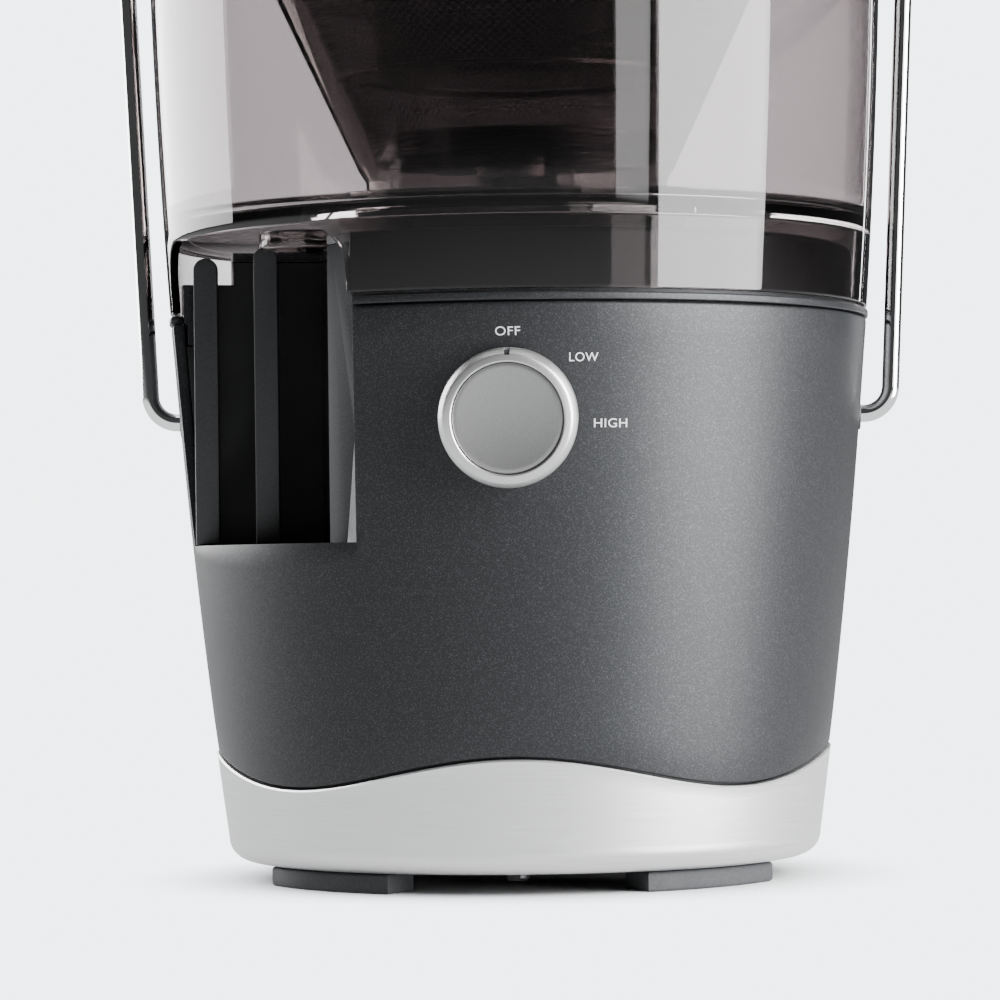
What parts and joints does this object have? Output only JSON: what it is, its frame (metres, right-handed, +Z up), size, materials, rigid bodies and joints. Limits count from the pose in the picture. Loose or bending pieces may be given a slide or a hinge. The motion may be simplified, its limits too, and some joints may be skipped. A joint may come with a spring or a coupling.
{
  "type": "centrifugal juicer",
  "caption": "Upright centrifugal juicer: tapered round base with a speed dial, smoky pulp basin over a spinning sieve, feed chute with pusher, and a swinging wire bail.",
  "frame": {"origin": "on the axis of the machine, at the underside of the feet", "axes": "+Z up along the machine's axis, -Y towards the speed dial, +X to the dial's right as the user faces it"},
  "size_m": [0.2358, 0.2219, 0.412],
  "materials": {
    "grey_metallic_paint": "satin metallic grey paint with a fine sparkle",
    "brushed_silver": "light silver, brushed around",
    "dial_aluminium": "satin",
    "chrome": "polished",
    "smoky_clear": "transparent smoky grey, glossy",
    "black_gloss": "gloss black",
    "black_plastic": "satin black",
    "dark_rubber": "matt",
    "steel": "stainless",
    "laminated_steel": "plain sheet",
    "copper": "varnished copper",
    "seal_rubber": "matt silicone",
    "screw_steel": "zinc plated"
  },
  "bodies": {
    "base": {"housing": "grey_metallic_paint", "top_deck": "grey_metallic_paint", "trim_ring": "grey_metallic_paint", "bay_cheek": "grey_metallic_paint", "accent_band": "brushed_silver", "pulp_basin": "smoky_clear", "juice_bowl": "smoky_clear", "lid": "smoky_clear", "bay_liner": "black_gloss", "base_plate": "black_plastic", "jug_guide_inner": "black_plastic", "jug_guide_outer": "black_plastic", "rotary_switch": "black_plastic", "brush_left": "black_plastic", "brush_right": "black_plastic", "interlock_switch": "black_plastic", "pivot_bush_left": "black_plastic", "pivot_bush_right": "black_plastic", "foot_front_left": "dark_rubber", "foot_front_right": "dark_rubber", "foot_rear_left": "dark_rubber", "foot_rear_right": "dark_rubber", "cord_gland": "dark_rubber", "motor_isolator_1": "dark_rubber", "motor_isolator_2": "dark_rubber", "motor_isolator_3": "dark_rubber", "bearing_lower": "steel", "bearing_upper": "steel", "motor_stator": "laminated_steel", "end_bell_lower": "laminated_steel", "end_bell_upper": "laminated_steel", "field_coil_lower": "copper", "field_coil_upper": "copper", "shaft_seal": "seal_rubber", "bowl_seal": "seal_rubber", "lid_seal": "seal_rubber", "base_screw_1": "screw_steel", "base_screw_2": "screw_steel", "base_screw_3": "screw_steel", "base_screw_4": "screw_steel", "switch_nut": "screw_steel"},
    "dial": {"dial_knob": "dial_aluminium", "dial_face": "dial_aluminium", "dial_shaft": "screw_steel"},
    "drive": {"motor_shaft": "steel", "motor_armature": "laminated_steel", "commutator": "copper", "cooling_fan": "black_plastic", "drive_coupling": "black_plastic", "sieve_basket": "steel", "sieve_rim": "black_plastic", "cutting_disc": "steel"},
    "bail": {"bail_wire": "chrome", "bail_grip": "black_plastic", "pivot_clip_left": "steel", "pivot_clip_right": "steel"},
    "pusher": {"pusher_body": "smoky_clear", "pusher_cap": "black_plastic"}
  },
  "joints": [
    {"name": "dial_turn", "type": "hinge", "parent": "base", "child": "dial", "pos_m": [0, -0.09904, 0.13], "axis": [0, 0.9963, 0.0864], "range_deg": [0, 90]},
    {"name": "drive_spin", "type": "hinge", "parent": "base", "child": "drive", "pos_m": [0, 0, 0.1], "axis": [0, 0, 1], "continuous": true},
    {"name": "bail_swing", "type": "hinge", "parent": "base", "child": "bail", "pos_m": [0, 0, 0.1335], "axis": [-1, 0, 0], "range_deg": [0, 100]},
    {"name": "pusher_slide", "type": "slide", "parent": "base", "child": "pusher", "axis": [0, 0, 1], "range_m": [0, 0.145]}
  ]
}
